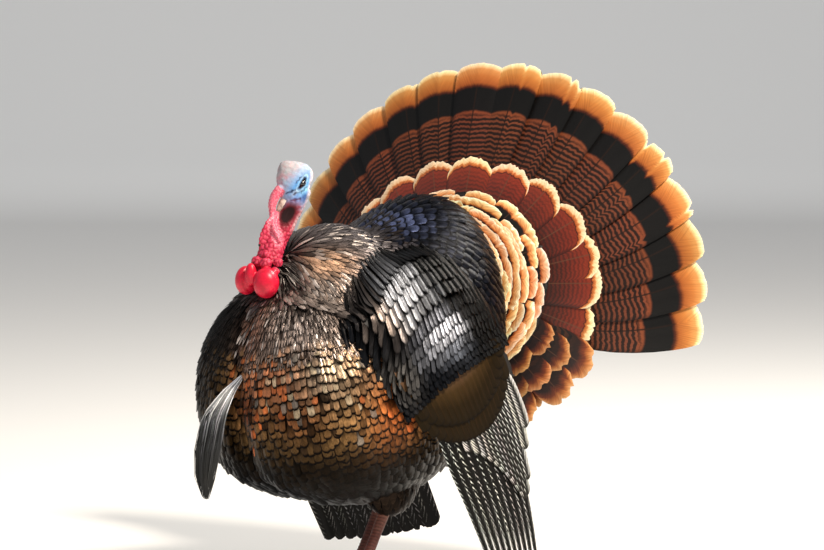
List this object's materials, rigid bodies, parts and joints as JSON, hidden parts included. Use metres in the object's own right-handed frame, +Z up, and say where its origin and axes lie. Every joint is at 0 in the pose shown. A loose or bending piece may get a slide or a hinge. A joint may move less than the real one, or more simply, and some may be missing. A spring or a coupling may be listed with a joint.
{
  "type": "wild turkey",
  "caption": "Life-size still model of a strutting male wild turkey, standing, tail fanned, wings lowered, with beard, snood and caruncles.",
  "frame": {"origin": "on the ground, under the middle of the bird's bounding box", "axes": "+Z up; the bird's body faces -Y, so its left side is at +X"},
  "size_m": [0.7738, 0.8438, 0.9129],
  "materials": {
    "body_feathers": "dark bronze feathers with copper and olive gloss",
    "black_feathers": "black feathers with a steel-blue gloss",
    "silver_feathers": "silver-grey and brown feathers, glossy",
    "tail_feathers": "chestnut feathers with dark bars, a black band and a buff edge",
    "buff_feathers": "black and maroon feathers with wide buff-orange edges",
    "barred_wing_feathers": "black flight feathers with white bars",
    "red_skin": "bare red skin, satin",
    "pale_blue_skin": "bare bluish-white skin, satin",
    "horn": "brown and pinkish horn, semi-gloss",
    "eye": "dark brown eye, wet gloss",
    "leg_scales": "reddish scaly skin, satin",
    "beard_bristles": "coarse black bristles, silvery at the top"
  },
  "bodies": {
    "root": {"belly": "body_feathers", "breast": "body_feathers", "back": "black_feathers", "thigh_left": "black_feathers", "thigh_right": "black_feathers", "undertail_coverts": "black_feathers", "wing_left_secondaries": "black_feathers", "wing_right_secondaries": "black_feathers", "neck_hackles": "silver_feathers", "wing_left_coverts": "silver_feathers", "wing_right_coverts": "silver_feathers", "tail_fan": "tail_feathers", "rump_coverts": "buff_feathers", "tail_coverts": "buff_feathers", "wing_left_primaries": "barred_wing_feathers", "wing_right_primaries": "barred_wing_feathers", "caruncle_left": "red_skin", "caruncle_middle": "red_skin", "caruncle_right": "red_skin", "dewlap": "red_skin", "neck": "red_skin", "snood": "red_skin", "head": "pale_blue_skin", "bill_lower": "horn", "bill_upper": "horn", "foot_left_back_claw": "horn", "foot_left_inner_claw": "horn", "foot_left_middle_claw": "horn", "foot_left_outer_claw": "horn", "foot_right_back_claw": "horn", "foot_right_inner_claw": "horn", "foot_right_middle_claw": "horn", "foot_right_outer_claw": "horn", "spur_left": "horn", "spur_right": "horn", "eye_left": "eye", "eye_right": "eye", "foot_left": "leg_scales", "foot_right": "leg_scales", "shank_left": "leg_scales", "shank_right": "leg_scales", "beard": "beard_bristles"}
  },
  "joints": []
}
